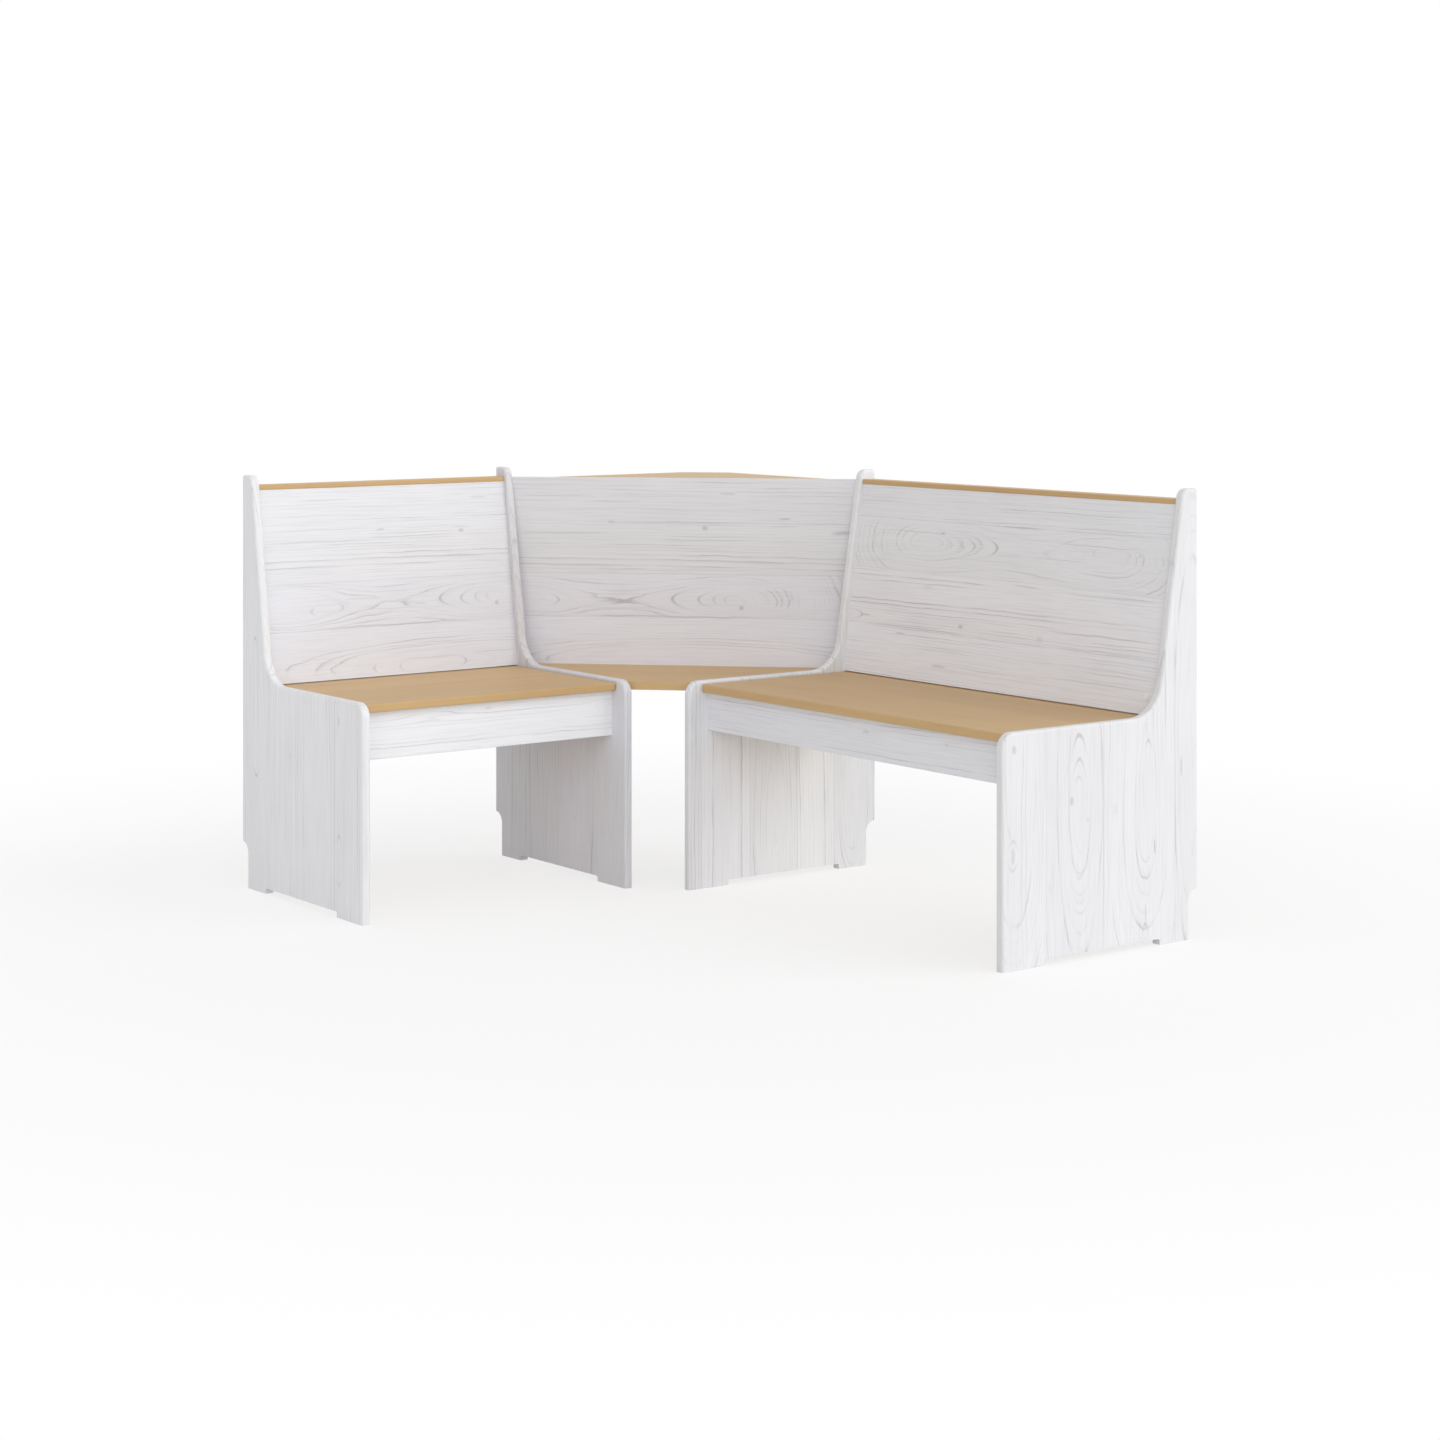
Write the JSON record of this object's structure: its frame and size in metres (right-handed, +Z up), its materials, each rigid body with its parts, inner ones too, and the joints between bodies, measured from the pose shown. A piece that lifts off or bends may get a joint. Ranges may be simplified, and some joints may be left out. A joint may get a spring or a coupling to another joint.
{
  "type": "corner storage bench",
  "caption": "Corner storage bench in two-tone pine: two wings with lift-up seat lids over shallow boxes meet at a fixed corner seat, with leaning backrests and a corner shelf.",
  "frame": {"origin": "on the floor, under the middle of the bench's overall length and depth", "axes": "+X along the long wing, away from the room's corner; +Y towards the wall behind the long wing; the wall behind the short wing is at -X; +Z up"},
  "size_m": [1.5, 1.178, 0.83],
  "materials": {
    "whitewashed_pine": "thin white stain on edge-glued pine, satin lacquer, grain showing",
    "oak_stained_pine": "light oak stain, satin lacquer, faint grain",
    "bare_pine": "planed, unfinished",
    "beech_dowel": "turned, unfinished",
    "zinc_plated_steel": "bright zinc plating",
    "white_plastic": "moulded, matt"
  },
  "bodies": {
    "bench": {"corner_backrest": "whitewashed_pine", "corner_cleat_screws": "zinc_plated_steel", "corner_pegs": "beech_dowel", "corner_seat": "oak_stained_pine", "corner_seat_rear_cleat": "bare_pine", "corner_seat_screws": "zinc_plated_steel", "corner_shelf": "oak_stained_pine", "corner_shelf_bracket": "bare_pine", "corner_shelf_cleats": "bare_pine", "corner_shelf_screws": "zinc_plated_steel", "long_apron": "whitewashed_pine", "long_backrest": "whitewashed_pine", "long_cam_bolts": "zinc_plated_steel", "long_cam_cover": "white_plastic", "long_cam_discs": "zinc_plated_steel", "long_cap_pegs": "beech_dowel", "long_dowels": "beech_dowel", "long_hinge_fixed_leaves": "zinc_plated_steel", "long_hinge_pins": "zinc_plated_steel", "long_hinge_rail_screws": "zinc_plated_steel", "long_inner_side_panel": "whitewashed_pine", "long_outer_side_panel": "whitewashed_pine", "long_rear_rail": "whitewashed_pine", "long_seat_cleat": "bare_pine", "long_storage_floor": "bare_pine", "long_top_cap": "oak_stained_pine", "short_apron": "whitewashed_pine", "short_backrest": "whitewashed_pine", "short_cam_bolts": "zinc_plated_steel", "short_cam_discs": "zinc_plated_steel", "short_cap_pegs": "beech_dowel", "short_dowels": "beech_dowel", "short_hinge_fixed_leaves": "zinc_plated_steel", "short_hinge_pins": "zinc_plated_steel", "short_hinge_rail_screws": "zinc_plated_steel", "short_inner_side_panel": "whitewashed_pine", "short_outer_side_panel": "whitewashed_pine", "short_rear_rail": "whitewashed_pine", "short_seat_cleat": "bare_pine", "short_storage_floor": "bare_pine", "short_top_cap": "oak_stained_pine"},
    "long_lid": {"long_seat_lid": "oak_stained_pine", "long_lid_battens": "bare_pine", "long_batten_screws": "zinc_plated_steel", "long_hinge_moving_leaves": "zinc_plated_steel", "long_hinge_lid_screws": "zinc_plated_steel"},
    "short_lid": {"short_seat_lid": "oak_stained_pine", "short_lid_battens": "bare_pine", "short_batten_screws": "zinc_plated_steel", "short_hinge_moving_leaves": "zinc_plated_steel", "short_hinge_lid_screws": "zinc_plated_steel"}
  },
  "joints": [
    {"name": "long_lid_hinge", "type": "hinge", "parent": "bench", "child": "long_lid", "pos_m": [0.2785, 0.476, 0.3912], "axis": [-1, 0, 0], "range_deg": [0, 98.5]},
    {"name": "short_lid_hinge", "type": "hinge", "parent": "bench", "child": "short_lid", "pos_m": [-0.637, -0.2785, 0.3912], "axis": [0, -1, 0], "range_deg": [0, 98.5]}
  ]
}
